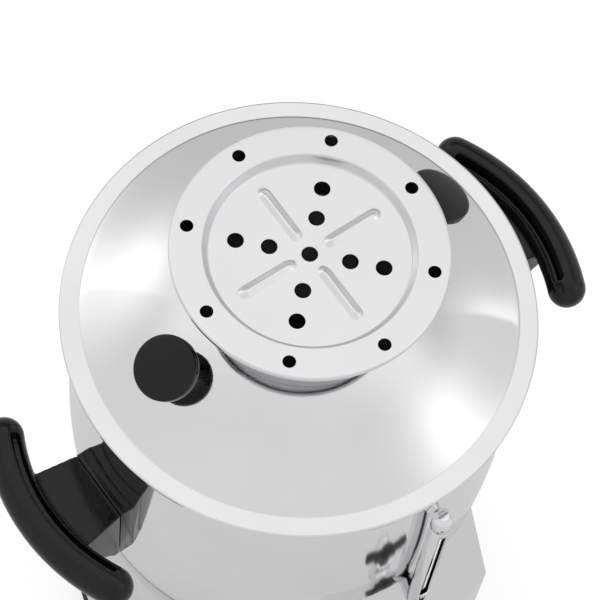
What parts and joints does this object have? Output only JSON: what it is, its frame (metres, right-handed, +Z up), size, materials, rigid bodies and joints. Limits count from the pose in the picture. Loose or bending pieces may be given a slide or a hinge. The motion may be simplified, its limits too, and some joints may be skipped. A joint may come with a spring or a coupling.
{
  "type": "samovar",
  "caption": "Barrel-shaped electric samovar with a lift-off conical lid, perforated teapot crown, side handles, water gauge and front plug tap.",
  "frame": {"origin": "on the table, on the tank's axis, in the plane of the foot ring's underside", "axes": "+Z up along the tank's axis, -Y towards the tap, +X to the right for someone facing the tap"},
  "size_m": [0.414, 0.3915, 0.504],
  "materials": {
    "polished_steel": "mirror polish",
    "satin_steel": "satin",
    "black_bakelite": "moulded gloss",
    "brass": "machined",
    "rubber": "matte",
    "gauge_glass": "clear",
    "ivory_plastic": "moulded",
    "red_lens": "clear red",
    "copper": "drawn"
  },
  "bodies": {
    "stand": {"tank": "polished_steel", "tank_bowl": "polished_steel", "tank_floor": "satin_steel", "heating_element": "satin_steel", "element_nuts": "brass", "element_seals": "rubber", "thermal_cutout": "black_bakelite", "thermostat_bulb": "copper", "bulb_clip": "satin_steel", "base_skirt": "polished_steel", "seat_ring": "satin_steel", "screw_ring": "satin_steel", "base_plate": "satin_steel", "base_screws": "satin_steel", "foot_ring": "rubber", "cord_gland": "black_bakelite", "terminal_block": "ivory_plastic", "control_housing": "polished_steel", "housing_floor": "satin_steel", "dial_ring": "ivory_plastic", "thermostat_body": "ivory_plastic", "switch_body": "black_bakelite", "pilot_lamps": "red_lens", "handle_left": "black_bakelite", "handle_right": "black_bakelite", "handle_pad_left": "black_bakelite", "handle_pad_right": "black_bakelite", "handle_bolts": "satin_steel", "handle_seals": "rubber", "handle_nuts": "satin_steel", "tap_body": "polished_steel", "tap_nut": "brass", "tap_seals": "rubber", "gauge_tee": "brass", "gauge_glass": "gauge_glass", "gauge_seals": "rubber", "gauge_top_fitting": "polished_steel", "gauge_top_nut": "brass", "gauge_guard": "polished_steel"},
    "tap_key": {"tap_plug": "brass", "tap_lever": "black_bakelite", "tap_washer": "satin_steel", "tap_plug_nut": "brass"},
    "dial": {"thermostat_spindle": "brass", "thermostat_knob": "black_bakelite"},
    "rocker": {"switch_rocker": "red_lens"},
    "lid": {"lid_shell": "polished_steel", "lid_collar": "polished_steel", "lid_knob_left": "black_bakelite", "lid_knob_right": "black_bakelite", "knob_ferrules": "satin_steel", "knob_screws": "satin_steel"},
    "crown": {"crown_plate": "polished_steel"}
  },
  "joints": [
    {"name": "lid_lift", "type": "slide", "parent": "stand", "child": "lid", "axis": [0, 0, 1], "range_m": [0, 0.12]},
    {"name": "crown_lift", "type": "slide", "parent": "lid", "child": "crown", "axis": [0, 0, 1], "range_m": [0, 0.06]},
    {"name": "tap_turn", "type": "hinge", "parent": "stand", "child": "tap_key", "pos_m": [0, -0.2, 0.158], "axis": [0, 0, 1], "range_deg": [0, 90]},
    {"name": "thermostat_turn", "type": "hinge", "parent": "stand", "child": "dial", "pos_m": [-0.03206, -0.16491, 0.09], "axis": [0.1908, 0.9816, 0], "range_deg": [0, 270]},
    {"name": "switch_rock", "type": "hinge", "parent": "stand", "child": "rocker", "pos_m": [0.03215, -0.1654, 0.09], "axis": [-0.9816, -0.1908, 0], "range_deg": [0, 20]}
  ]
}
